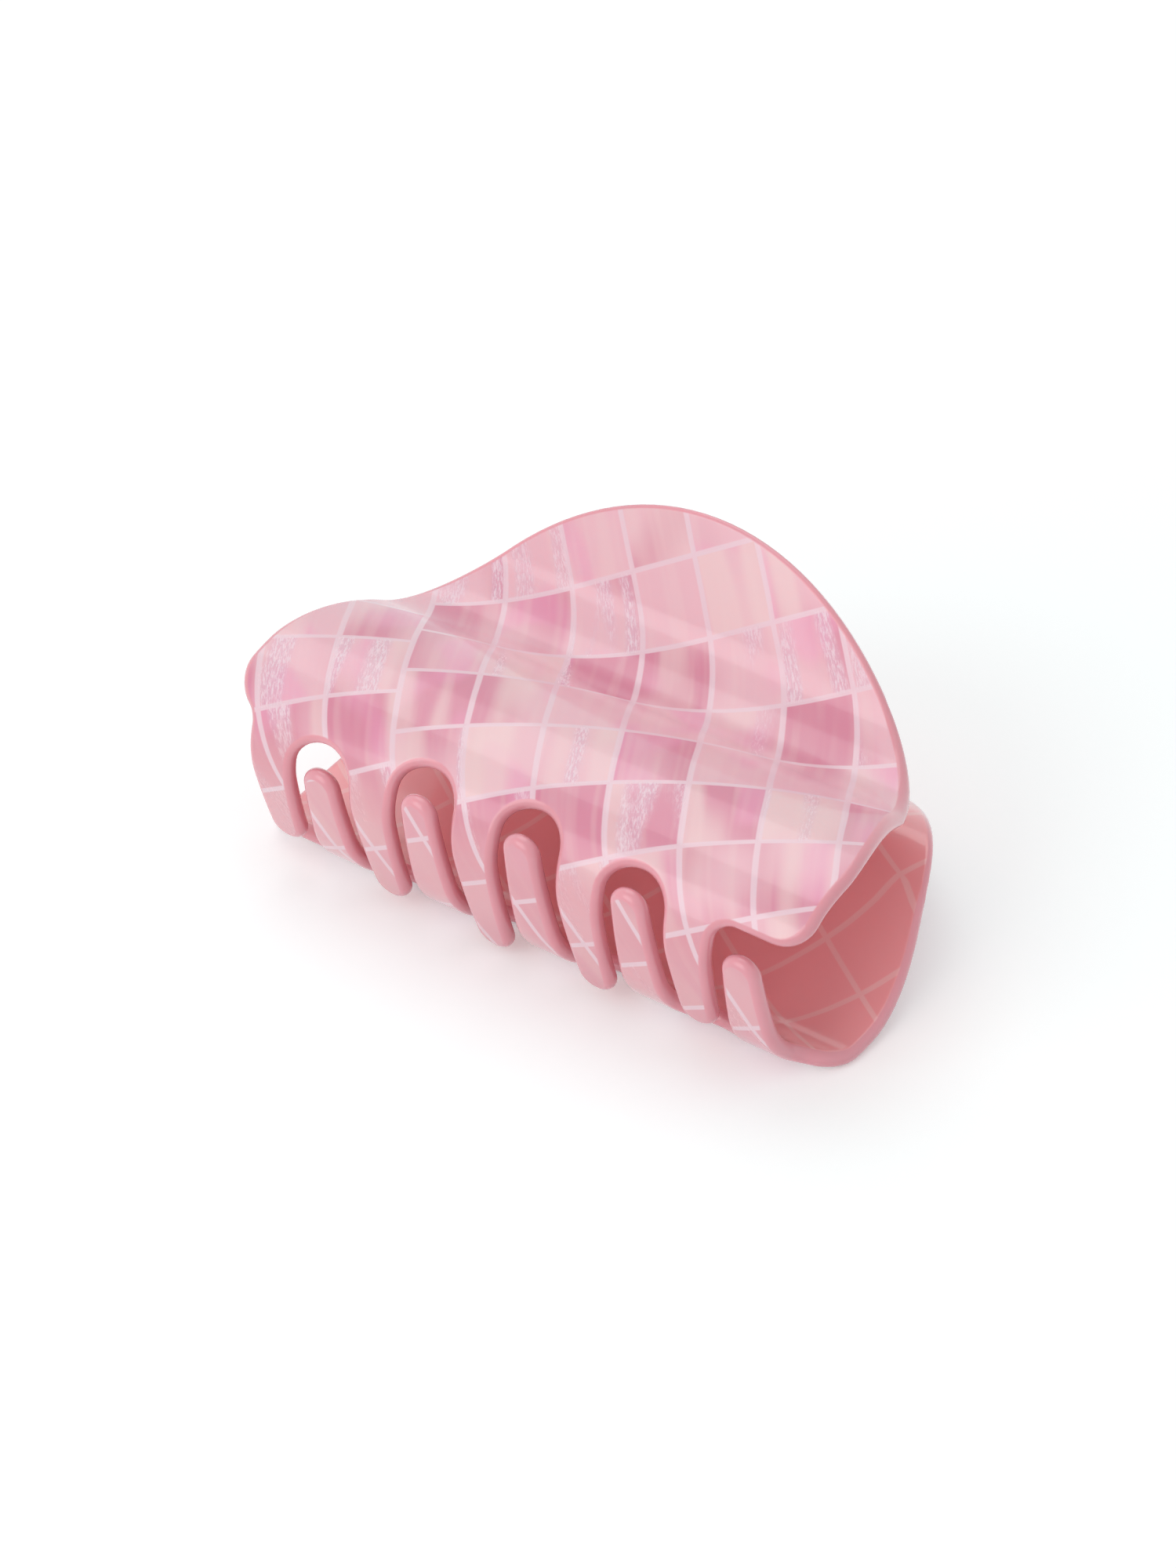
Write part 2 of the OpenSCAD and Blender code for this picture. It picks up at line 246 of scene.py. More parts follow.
class Profile:
    """The bent sheet's outer face, by the length of sheet from the waist."""

    def __init__(self, s):
        self.s = s
        waist = Vector((0, s.waist_half))
        self.handle_start = s.waist_r * s.handle_angle
        self.handle = swept(waist, 0, -s.handle_angle, s.waist_r, 1)
        self.handle_way = Vector((math.cos(s.handle_angle), math.sin(s.handle_angle)))
        self.flare = swept(waist, 0, s.flare_angle, s.waist_r, 1)
        self.flare_len = s.waist_r * s.flare_angle
        self.bend = swept(self.flare, s.flare_angle, -s.belly_turn, s.belly_r, -1)
        self.bend_len = self.flare_len + s.belly_r * (s.flare_angle + s.belly_turn)
        self.tooth = swept(self.bend, -s.belly_turn, -s.tooth_angle, s.bend_r, -1)
        self.tooth_len = self.bend_len + s.bend_r * (s.tooth_angle - s.belly_turn)

    def heading(self, along):
        s = self.s
        if along < -self.handle_start:
            return -s.handle_angle
        if along < self.flare_len:
            return along / s.waist_r
        if along < self.bend_len:
            return s.flare_angle - (along - self.flare_len) / s.belly_r
        if along < self.tooth_len:
            return -s.belly_turn - (along - self.bend_len) / s.bend_r
        return -s.tooth_angle - (along - self.tooth_len) / s.tooth_r

    def face(self, along):
        s, angle = self.s, self.heading(along)
        if along < -self.handle_start:
            return self.handle + (-along - self.handle_start) * self.handle_way
        if along < self.flare_len:
            return swept(Vector((0, s.waist_half)), 0, angle, s.waist_r, 1)
        if along < self.bend_len:
            return swept(self.flare, s.flare_angle, angle, s.belly_r, -1)
        if along < self.tooth_len:
            return swept(self.bend, -s.belly_turn, angle, s.bend_r, -1)
        return swept(self.tooth, -s.tooth_angle, angle, s.tooth_r, -1)

    def lean(self, along):
        """How far the cut edge leans towards the teeth for each step into the sheet."""
        angle = self.heading(along) + self.s.oval_view
        fade = min(max((self.s.widest_len - along) / self.s.widest_len, 0), 1)
        return -math.tan(angle) * fade

    def bent(self, across, along, height):
        """A point of the flat sheet, at a height above its middle layer, once it is bent."""
        depth = self.s.sheet / 2 - height
        along += self.lean(along) * depth
        angle = self.heading(along)
        out = Vector((math.sin(angle), math.cos(angle)))
        place = self.face(along) - depth * out
        return Vector((across, place.x, place.y))

    def bent_way(self, way, along):
        """The direction that the surface there faces, once the sheet is bent."""
        angle = self.heading(along)
        down = Vector((0, -math.cos(angle), math.sin(angle)))
        out = Vector((0, math.sin(angle), math.cos(angle)))
        turned = Vector((way.x, 0, 0)) + way.y * down + (way.z + self.lean(along) * way.y) * out
        return turned.normalized()

    def where_seen(self, height):
        """The length of sheet that is at a height in the oval's view."""
        view = Vector((math.cos(self.s.oval_view), math.sin(self.s.oval_view)))
        low, high = -2 * self.s.handle_len, self.s.widest_len
        for _ in range(40):
            middle = (low + high) / 2
            if self.face(middle).dot(view) > height:
                low = middle
            else:
                high = middle
        return (low + high) / 2

    def seen(self, along):
        view = Vector((math.cos(self.s.oval_view), math.sin(self.s.oval_view)))
        return self.face(along).dot(view)


def lying():
    """Turns the clip's own frame, [along the pin, along the handle, outwards], onto the floor."""
    s = settings("jaw")
    profile = Profile(s)
    tip = profile.face(-s.handle_len)
    low, high = 0.0, s.handle_angle / 2
    for _ in range(50):
        tilt = (low + high) / 2
        if tip.y * math.cos(tilt) - tip.x * math.sin(tilt) > HINGE.z:
            low = tilt
        else:
            high = tilt
    return Matrix.Translation(HINGE) @ Matrix.Rotation(low, 4, "X")


REAR = Matrix.Rotation(math.pi, 4, "Y")


# Meshes

def show(name, mesh, body, slot, material, *replaced):
    """Makes a finished mesh a piece that rides on a body and stands for CAD nodes."""
    piece = bpy.data.objects.new(name, mesh)
    bpy.context.scene.collection.objects.link(piece)
    mesh.materials.append(material)
    if body:
        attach(piece, body)
    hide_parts(*replaced)
    return piece


def oval_edge(s, profile):
    """The handle's edge on the flat sheet, from the right widest point round to the left."""
    low = profile.seen(s.widest_len)
    rise = profile.seen(-s.handle_len - s.handle_rise) - low
    points = []
    for i in range(OVAL_STEPS + 1):
        angle = math.pi * i / OVAL_STEPS
        side, up = math.cos(angle), max(math.sin(angle), 0)
        across = s.half_len * side
        across -= s.oval_aside * (math.sin(2 * angle) ** 2 if abs(side) > up else 1)
        points.append(Vector((across, profile.where_seen(low + rise * up ** s.oval_power), 0)))
    return points


def shoulder_corners(s, edge, tooth):
    """The two corners beside an end tooth, whose round shoulder runs straight into its
    fillet, each with the length that its rounding takes from its sides."""
    reach = s.tooth_side_r + s.root_fillet
    run = reach - (tooth - edge)
    half_turn = math.acos(run / reach) / 2
    start = s.shoulder_len - s.tooth_side_r
    foot = start + math.sqrt(reach ** 2 - run ** 2)
    lengths = [r * SHOULDER_SHARE * math.tan(half_turn) for r in (s.tooth_side_r, s.root_fillet)]
    return [((edge, start + lengths[0]), lengths[0]), ((tooth, foot - lengths[1]), lengths[1])]


def comb_corners(s):
    """Corners of the toothed edge from the left shoulder to the right, each with the length
    that its rounding takes from its sides."""
    middle = -s.tooth_pitch / 4
    teeth = [middle + (i - (s.tooth_count - 1) / 2) * s.tooth_pitch for i in range(s.tooth_count)]
    root_half = (s.tooth_pitch - s.notch_w) / 2
    tip_round = s.tip_w / 2 * TIP_SHARE
    notch_round = s.notch_w / 2 * TIP_SHARE
    corners = shoulder_corners(s, -s.half_len, teeth[0] - root_half)
    for i, x in enumerate(teeth):
        tip = s.tip_len - s.tip_arch * (x - middle) ** 2
        corners += [((x + side * s.tip_w / 2, tip), tip_round) for side in (-1, 1)]
        if i < s.tooth_count - 1:
            notch = x + s.tooth_pitch / 2
            top = s.notch_len + s.notch_arch * notch * notch
            corners += [((notch + side * s.notch_w / 2, top), notch_round) for side in (-1, 1)]
    corners += [((teeth[-1] + root_half, s.shoulder_len), s.root_fillet),
                ((s.half_len, s.shoulder_len), s.open_side_r)]
    return corners


def flat_sheet(s, profile):
    """The jaw cut from flat sheet, with a round edge all the way about it."""
    bm = bmesh.new()
    oval = [bm.verts.new(p) for p in oval_edge(s, profile)]
    corners = [(bm.verts.new((*place, 0)), size) for place, size in comb_corners(s)]
    face = bm.faces.new(oval + [v for v, _ in corners])
    face.normal_update()
    if face.normal.z < 0:
        face.normal_flip()
    for offset in sorted({size for _, size in corners}):
        verts = [v for v, size in corners if size == offset]
        bmesh.ops.bevel(bm, geom=verts, offset=offset, offset_type="OFFSET", profile=0.5,
                        segments=CORNER_SEGMENTS, affect="VERTICES", clamp_overlap=False,
                        material=-1)
    round_edge(bm, s.sheet / 2)
    half = list(bm.verts) + list(bm.edges) + list(bm.faces)
    bmesh.ops.mirror(bm, geom=half, axis="Z", merge_dist=s.sheet / 500)
    bmesh.ops.recalc_face_normals(bm, faces=bm.faces)
    return bm


def round_edge(bm, radius):
    """Insets the single face over and over, so that its edge rises in a quarter circle."""
    inner = list(bm.faces)
    for i in range(EDGE_STEPS):
        before, after = (math.pi / 2 * k / EDGE_STEPS for k in (i, i + 1))
        inward = radius * (math.cos(before) - math.cos(after))
        bmesh.ops.inset_region(bm, faces=inner, use_boundary=True, use_even_offset=True,
                               thickness=inward, depth=0)
        rise = radius * (math.sin(after) - math.sin(before))
        bmesh.ops.translate(bm, verts=list({v for f in inner for v in f.verts}), vec=(0, 0, rise))


def sliced(bm, s):
    """Cuts the flat sheet across, so that it can bend."""
    low, high = -s.handle_len, s.tip_len
    cuts = int((high - low) / s.bend_step)
    for i in range(1, cuts):
        y = low + (high - low) * i / cuts
        bmesh.ops.bisect_plane(bm, geom=bm.verts[:] + bm.edges[:] + bm.faces[:], dist=1e-7,
                               plane_co=(0, y, 0), plane_no=(0, 1, 0))


def jaw_mesh(name, place, along):
    """The bent jaw, cut from its own place along the sheet. Its UV map is the flat sheet, and
    its attribute side is 1 on the outer face, -1 on the inner face and between them on the
    rounded edge."""
    s = settings("jaw")
    profile = Profile(s)
    bm = flat_sheet(s, profile)
    sliced(bm, s)
    bm.normal_update()
    flat = bm.loops.layers.uv.new("Flat")
    side = bm.verts.layers.float.new("side")
    for f in bm.faces:
        f.smooth = True
        for loop in f.loops:
            loop[flat].uv = ((loop.vert.co.x + along) * 10, loop.vert.co.y * 10)
    normals = []
    turned = place.to_3x3()
    for v in bm.verts:
        v[side] = max(-1.0, min(1.0, v.co.z / (s.sheet / 2)))
        level = Vector((v.normal.x, v.normal.y, 0))
        reach = math.sqrt(max(0.0, 1 - v[side] ** 2))
        way = Vector((0, 0, v[side]))
        if reach > 0.02 and level.length > 1e-6:
            way += level.normalized() * reach
        normals.append(turned @ profile.bent_way(way, v.co.y))
    for v in bm.verts:
        v.co = place @ profile.bent(v.co.x, v.co.y, v.co.z)
    bmesh.ops.reverse_faces(bm, faces=bm.faces)
    mesh = bpy.data.meshes.new(name)
    bm.to_mesh(mesh)
    bm.free()
    mesh.normals_split_custom_set_from_vertices(normals)
    return mesh


def rounded_copy(node, name, edge):
    """A copy of a CAD node with its sharp rims rounded."""
    bm = bmesh.new()
    bm.from_mesh(frame["nodes"][node].data)
    bmesh.ops.remove_doubles(bm, verts=bm.verts, dist=2e-6)
    bmesh.ops.dissolve_limit(bm, angle_limit=math.radians(1), verts=bm.verts, edges=bm.edges)
    sharp = [e for e in bm.edges if e.is_manifold and e.calc_face_angle() > RIM_ANGLE]
    bmesh.ops.bevel(bm, geom=sharp, offset=edge, offset_type="OFFSET", segments=3, profile=0.5,
                    affect="EDGES", clamp_overlap=True, material=-1)
    for f in bm.faces:
        f.smooth = True
    mesh = bpy.data.meshes.new(name)
    bm.to_mesh(mesh)
    bm.free()
    mesh.set_sharp_from_angle(angle=math.radians(35))
    return mesh


def turned_mesh(name, outline, centre):
    """Spins an outline of (along the pin, radius) about the pin's axis."""
    bm = bmesh.new()
    verts = [bm.verts.new((x, radius, 0)) for x, radius in outline]
    edges = [bm.edges.new(pair) for pair in zip(verts, verts[1:])]
    bmesh.ops.spin(bm, geom=verts + edges, cent=(0, 0, 0), axis=(1, 0, 0), angle=2 * math.pi,
                   steps=SPIN_STEPS, use_merge=True, use_duplicate=False)
    bmesh.ops.remove_doubles(bm, verts=bm.verts, dist=1e-7)
    bmesh.ops.recalc_face_normals(bm, faces=bm.faces)
    bmesh.ops.translate(bm, verts=bm.verts, vec=centre)
    for f in bm.faces:
        f.smooth = True
    mesh = bpy.data.meshes.new(name)
    bm.to_mesh(mesh)
    bm.free()
    mesh.set_sharp_from_angle(angle=math.radians(40))
    return mesh


def domed(x_in, x_out, radius, dome):
    """Outline from the rim at x_in over a rounded end to the axis at x_out."""
    way = 1 if x_out > x_in else -1
    arc = [(x_out - way * dome * (1 - math.sin(a)), radius - dome * (1 - math.cos(a)))
           for a in (math.pi / 2 * i / EDGE_STEPS for i in range(EDGE_STEPS + 1))]
    return [(x_in, radius)] + arc + [(x_out, 0)]


def spring_path(jaw, s):
    """The wire's middle line in the clip's own frame: front leg, coil, rear leg."""
    inner = jaw.waist_half - jaw.sheet
    wire_r = s.wire / 2
    coil_r = inner - s.eye_gap - wire_r - s.wire_gap
    leg_r = jaw.waist_r + jaw.sheet + s.wire_gap + wire_r
    bend_middle = jaw.waist_half + jaw.waist_r
    first = -jaw.handle_angle
    arc = []
    for i in range(LEG_BENDS):
        a = first + (LEG_END - first) * i / (LEG_BENDS - 1)
        arc.append(Vector((-leg_r * math.sin(a), bend_middle - leg_r * math.cos(a))))
    way = Vector((math.cos(jaw.handle_angle), math.sin(jaw.handle_angle)))
    leg = [arc[0] + way * s.leg_len, arc[0] + way * s.leg_len / 2] + arc
    steps = int((s.coil_turns + 0.5) * COIL_STEPS)
    coil = []
    for i in range(steps + 1):
        angle = 2 * math.pi * i / COIL_STEPS
        coil.append(Vector((s.coil_len * (i / steps - 0.5), -coil_r * math.sin(angle),
                            coil_r * math.cos(angle))))
    front = [Vector((-s.coil_len / 2, p.x, p.y)) for p in leg]
    rear = [Vector((s.coil_len / 2, p.x, -p.y)) for p in reversed(leg)]
    return front + coil + rear


def wire_mesh(name, points, radius):
    """A round wire with closed ends along points, as a mesh."""
    line = bpy.data.curves.new(name, "CURVE")
    line.dimensions = "3D"
    line.bevel_depth = radius
    line.bevel_resolution = 2
    line.use_fill_caps = True
    spline = line.splines.new("POLY")
    spline.points.add(len(points) - 1)
    for point, place in zip(spline.points, points):
        point.co = (*place, 1)
    holder = bpy.data.objects.new(name, line)
    bpy.context.scene.collection.objects.link(holder)
    bpy.context.view_layer.update()
    graph = bpy.context.evaluated_depsgraph_get()
    mesh = bpy.data.meshes.new_from_object(holder.evaluated_get(graph))
    bpy.data.objects.remove(holder)
    bpy.data.curves.remove(line)
    bm = bmesh.new()
    bm.from_mesh(mesh)
    bmesh.ops.remove_doubles(bm, verts=bm.verts, dist=1e-7)
    bmesh.ops.recalc_face_normals(bm, faces=bm.faces)
    for f in bm.faces:
        f.smooth = True
    bm.to_mesh(mesh)
    bm.free()
    mesh.name = name
    mesh.set_sharp_from_angle(angle=math.radians(40))
    return mesh


# Materials

class Wiring:
    """Short calls that add nodes to a tree and join them."""

    def __init__(self, tree):
        self.tree = tree

    def node(self, kind, **values):
        made = self.tree.nodes.new("ShaderNode" + kind)
        for key, value in values.items():
            setattr(made, key, value)
        return made

    def join(self, value, socket):
        if isinstance(value, bpy.types.NodeSocket):
            self.tree.links.new(value, socket)
        else:
            socket.default_value = value

    def math(self, operation, *values, clamp=False):
        made = self.node("Math", operation=operation, use_clamp=clamp)
        for value, socket in zip(values, made.inputs):
            self.join(value, socket)
        return made.outputs[0]

    def span(self, value, low, high, first=0.0, last=1.0):
        """Maps low to high onto first to last, smoothly and held at both ends."""
        made = self.node("MapRange", interpolation_type="SMOOTHSTEP")
        for socket, number in zip(made.inputs, (value, low, high, first, last)):
            self.join(number, socket)
        return made.outputs[0]

    def mix(self, share, first, last):
        made = self.node("Mix", data_type="RGBA")
        self.join(share, made.inputs[0])
        self.join(first, made.inputs[6])
        self.join(last, made.inputs[7])
        return made.outputs[2]

    def noise(self, vector, scale, detail=2.0, rough=0.5):
        made = self.node("TexNoise", noise_dimensions="3D")
        self.join(vector, made.inputs["Vector"])
        made.inputs["Scale"].default_value = scale
        made.inputs["Detail"].default_value = detail
        made.inputs["Roughness"].default_value = rough
        return made.outputs[0]

    def random(self, vector):
        made = self.node("TexWhiteNoise", noise_dimensions="3D")
        self.join(vector, made.inputs["Vector"])
        return made.outputs["Color"]

    def looked_at(self):
        """1 for what the camera sees, straight or by gloss or through glass, and 0 for light."""
        path = self.node("LightPath")
        seen = self.math("MAXIMUM", path.outputs["Is Camera Ray"], path.outputs["Is Glossy Ray"])
        return self.math("MAXIMUM", seen, path.outputs["Is Transmission Ray"])

    def vector(self, *parts):
        made = self.node("CombineXYZ")
        for value, socket in zip(parts, made.inputs):
            self.join(value, socket)
        return made.outputs[0]

    def parts(self, vector):
        made = self.node("SeparateXYZ")
        self.join(vector, made.inputs[0])
        return made.outputs


def shade(tint, share=1.0):
    """A colour with alpha, darker where share is under 1."""
    return (*[v * share for v in tint], 1)


def new_group(name, inputs, outputs):
    """A shader node group with named sockets, and its wiring, input and output nodes."""
    group = bpy.data.node_groups.new(name, "ShaderNodeTree")
    for label, kind in inputs:
        group.interface.new_socket(name=label, in_out="INPUT", socket_type="NodeSocket" + kind)
    for label, kind in outputs:
        group.interface.new_socket(name=label, in_out="OUTPUT", socket_type="NodeSocket" + kind)
    start, end = (group.nodes.new("NodeGroup" + way) for way in ("Input", "Output"))
    return group, Wiring(group), start, end


def tile_group():
    """Lays the tile pattern on the flat sheet: its lines, and each tile's random numbers."""
    t = settings("tiles")
    group, w, start, end = new_group(
        "Clip tiles", (("Flat", "Vector"),),
        (("Line", "Float"), ("Tile", "Color"), ("Across", "Float"), ("Along", "Float")))
    wobble = w.math("SUBTRACT", w.noise(start.outputs["Flat"], 9.0, 1.0), 0.5)
    scaled = w.node("Mapping", vector_type="POINT")
    w.join(start.outputs["Flat"], scaled.inputs["Vector"])
    per_cell = 1 / (10 * t.pitch)
    scaled.inputs["Scale"].default_value = (per_cell, per_cell, 1)
    scaled.inputs["Rotation"].default_value = (0, 0, t.slant)
    scaled.inputs["Location"].default_value = (t.column, t.row, 0)
    across, along, _ = w.parts(scaled.outputs[0])
    across = w.math("MULTIPLY_ADD", wobble, 0.05, across)
    column = w.math("FLOOR", across)
    at_end = w.math("LESS_THAN", column, 1.5)
    step = w.math("MULTIPLY_ADD", at_end, t.end_step, t.low_step)
    along = w.math("SUBTRACT", w.math("DIVIDE", along, t.ratio), step)
    row = w.math("FLOOR", along)
    in_across = w.math("SUBTRACT", across, column)
    in_along = w.math("SUBTRACT", along, row)
    to_long = w.math("MULTIPLY", w.math("PINGPONG", in_across, 0.5), t.pitch)
    to_short = w.math("MULTIPLY", w.math("PINGPONG", in_along, 0.5), t.pitch * t.ratio * 1.15)
    nearest = w.math("MINIMUM", to_long, to_short)
    soft = 0.12 * MM
    w.join(w.span(nearest, t.line / 2 - soft, t.line / 2 + soft, 1.0, 0.0), end.inputs["Line"])
    w.join(w.random(w.vector(column, row, 0.5)), end.inputs["Tile"])
    w.join(across, end.inputs["Across"])
    w.join(along, end.inputs["Along"])
    return group


def pearl_group():
    """Pearl colour inside a tile: a drifting ground, soft bands along the tile, and a silvery
    grain in some of the bands, partly the pearl's own silver and partly a painted glint."""
    c = settings("colours")
    group, w, start, end = new_group(
        "Clip pearl", (("Tile", "Color"), ("Across", "Float"), ("Along", "Float")),
        (("Color", "Color"), ("Fleck", "Float"), ("Grain", "Float")))
    red, green, blue = w.parts(start.outputs["Tile"])

    def layer(across, along, apart, detail=0.0, rough=0.5):
        """Noise with so many waves across and along a tile, different in every tile. Layers
        a few units apart don't look alike."""
        place = w.vector(w.math("MULTIPLY", start.outputs["Across"], across),
                         w.math("MULTIPLY", start.outputs["Along"], along),
                         w.math("MULTIPLY_ADD", red, 40.0, apart))
        return w.noise(place, 1.0, detail, rough)

    def lay(mask, strength, under, over):
        return w.mix(w.math("MULTIPLY", mask, strength), under, over)

    rose, blush, cream, lilac, magenta, silver_and_glint = [
        shade(tint) for tint in (c.rose, c.blush, c.cream, c.lilac, c.magenta, c.silver_and_glint)]
    drift = w.math("MULTIPLY_ADD", w.math("SUBTRACT", green, 0.5), 0.6, layer(0.9, 0.7, 0.0))
    ground = w.mix(w.span(drift, 0.26, 0.62), rose, blush)
    ground = lay(w.span(layer(1.3, 1.1, 5.0), 0.55, 0.72), 0.45, ground, magenta)
    ground = lay(w.span(layer(6.0, 0.4, 9.0, 1.0), 0.45, 0.72), 0.2, ground, cream)
    pale = w.math("MULTIPLY", w.span(layer(2.2, 0.3, 13.0), 0.46, 0.68), w.span(blue, 0.35, 0.6))
    ground = lay(pale, 0.6, ground, cream)
    band = w.math("MULTIPLY", w.span(layer(2.6, 0.3, 21.0, 1.0), 0.5, 0.64),
                  w.span(red, 0.55, 0.7))
    ground = lay(band, 0.5, ground, lilac)
    grain = layer(38.0, 9.0, 29.0, 4.0, 0.7)
    # Painted glint: the whitish grain in the cool bands stands in part for light off the pearl
    # flakes.
    fleck = w.math("MULTIPLY", band, w.span(grain, 0.42, 0.64))
    ground = lay(fleck, 0.65, ground, silver_and_glint)
    w.join(ground, end.inputs["Color"])
    w.join(fleck, end.inputs["Fleck"])
    w.join(grain, end.inputs["Grain"])
    return group


def new_material(name):
    made = bpy.data.materials.new(name)
    made.use_nodes = True
    w = Wiring(made.node_tree)
    return made, w, made.node_tree.nodes["Principled BSDF"]


def tiled_acetate():
    """The laminate: pearl tiles outside, plain rounded rims, deeper lining inside, lifted by
    painted light; towards the teeth the face goes over to a salmon tone with painted shade.
    """
    t, c = settings("tiles"), settings("colours")
    made, w, shader = new_material("Tiled acetate")
    flat = w.node("UVMap", uv_map="Flat").outputs[0]
    side = w.node("Attribute", attribute_name="side").outputs["Fac"]
    tiles = w.node("Group", node_tree=tile_group())
    w.join(flat, tiles.inputs["Flat"])
    pearl = w.node("Group", node_tree=pearl_group())
    for label in ("Tile", "Across", "Along"):
        w.join(tiles.outputs[label], pearl.inputs[label])
    line = tiles.outputs["Line"]
    outer = w.span(side, 0.965, 0.998)
    inner = w.span(side, -0.998, -0.9, 1.0, 0.0)
    cloud = w.noise(flat, 4.0, 2.0)
    _, down, _ = w.parts(flat)
    # Painted shade: towards the teeth the face goes over to a darker salmon, partly the acetate's
    # plainer tone there and partly shade where the bend turns from the light.
    toothward_tone_and_shade = w.span(down, 10 * t.pearl_thin_and_shade_end, 10 * (t.pearl_thin_and_shade_end + t.pearl_thin_and_shade_fade))
    rim = w.mix(w.span(cloud, 0.3, 0.7), shade(c.rim), shade(c.rim, 0.93))
    # Painted light: the lining's lifted colours stand in for light through the acetate on the
    # shaded inside.
    lining = w.mix(w.math("MULTIPLY", line, 0.7), shade(c.lining), shade(c.lining_line))
    lining = w.mix(w.math("MULTIPLY", w.span(cloud, 0.4, 0.75), 0.35), lining, shade(c.rim))
    face = w.mix(w.math("MULTIPLY", toothward_tone_and_shade, 0.75), pearl.outputs["Color"], shade(c.teeth))
    face = w.mix(w.math("MULTIPLY", line, 0.9), face, shade(c.line))
    surface = w.mix(inner, w.mix(outer, rim, face), lining)
    w.join(surface, shader.inputs["Base Color"])
    fleck = w.math("MULTIPLY", pearl.outputs["Fleck"], outer)
    w.join(w.math("MULTIPLY_ADD", fleck, 0.2, 0.22), shader.inputs["Roughness"])
    bump = w.node("Bump")
    bump.inputs["Distance"].default_value = 0.04 * MM
    bump.inputs["Strength"].default_value = 0.5
    w.join(w.math("MULTIPLY", fleck, pearl.outputs["Grain"]), bump.inputs["Height"])
    w.join(bump.outputs[0], shader.inputs["Normal"])
    shader.inputs["IOR"].default_value = 1.49
    shader.inputs["Coat Weight"].default_value = 0.6
    shader.inputs["Coat Roughness"].default_value = 0.06
    shader.inputs["Subsurface Weight"].default_value = 0.2
    shader.inputs["Subsurface Radius"].default_value = (1.0, 0.35, 0.35)
    shader.inputs["Subsurface Scale"].default_value = 1.5 * MM
    return made


def plain_acetate():
    """The lugs' plain acetate, with the faint clouding of a cast sheet."""
    c = settings("colours")
    made, w, shader = new_material("Plain acetate")
    place = w.node("TexCoord").outputs["Object"]
    cloud = w.span(w.noise(place, 260.0, 3.0), 0.3, 0.7)
    w.join(w.mix(cloud, shade(c.plain), shade(c.plain, 0.82)), shader.inputs["Base Color"])
    w.join(w.math("MULTIPLY_ADD", cloud, 0.1, 0.2), shader.inputs["Roughness"])
    shader.inputs["IOR"].default_value = 1.49
    shader.inputs["Coat Weight"].default_value = 0.4
    shader.inputs["Coat Roughness"].default_value = 0.08
    return made


def metal(name, tint, scale, along, rough):
    """Bright metal with fine drawn lines, closer together across the wire or pin."""
    made, w, shader = new_material(name)
    place = w.node("Mapping")
    w.join(w.node("TexCoord").outputs["Object"], place.inputs["Vector"])
    place.inputs["Scale"].default_value = (scale * along, scale, scale)
    lines = w.noise(place.outputs[0], 1.0, 3.0, 0.6)
    w.join(w.mix(lines, shade(tint, 0.85), shade(tint)), shader.inputs["Base Color"])
    w.join(w.math("MULTIPLY_ADD", lines, 0.18, rough), shader.inputs["Roughness"])
    bump = w.node("Bump")
    bump.inputs["Distance"].default_value = 0.01 * MM
    bump.inputs["Strength"].default_value = 0.3
    w.join(lines, bump.inputs["Height"])
    w.join(bump.outputs[0], shader.inputs["Normal"])
    shader.inputs["Metallic"].default_value = 1.0
    return made


def floor_paper():
    """White paper with the faintest tooth to it, lifted to plain white where it is lit."""
    c = settings("colours")
    made, w, shader = new_material("Floor paper")
    grain = w.noise(w.node("TexCoord").outputs["Object"], 900.0, 2.0)
    w.join(w.mix(grain, shade(c.floor), shade(c.floor, 0.995)), shader.inputs["Base Color"])
    shader.inputs["Roughness"].default_value = 0.9
    shader.inputs["Specular IOR Level"].default_value = 0.1
    shader.inputs["Emission Color"].default_value = (1, 1, 1, 1)
    glow = w.math("MULTIPLY", w.looked_at(), settings("view").glow)
    w.join(glow, shader.inputs["Emission Strength"])
    return made


# Operators

class CLIP_OT_jaws(bpy.types.Operator):
    """Bends both jaws from flat sheet with rounded edges, and lays the tile pattern on them"""
    bl_idname = "clip.jaws"
    bl_label = "Jaws"

    def execute(self, context):
        acetate = tiled_acetate()
        place = lying()
        show("front_jaw_sheet", jaw_mesh("front_jaw_sheet", place, 0), "front",
             "tiled_acetate", acetate, "front_jaw")
        show("rear_jaw_sheet", jaw_mesh("rear_jaw_sheet", place @ REAR, settings("tiles").offset),
             "rear", "tiled_acetate", acetate, "rear_jaw")
        return {"FINISHED"}


class CLIP_OT_lugs(bpy.types.Operator):
    """Rounds the rims of the four hinge lugs"""
    bl_idname = "clip.lugs"
    bl_label = "Hinge lugs"

    def execute(self, context):
        acetate = plain_acetate()
        edge = settings("hinge").lug_edge
        for body in ("front", "rear"):
            for end in ("left", "right"):
                node = f"{body}_lug_{end}"
                mesh = rounded_copy(node, node + "_round", edge)
                show(node + "_round", mesh, body, "plain_acetate", acetate, node)
        return {"FINISHED"}


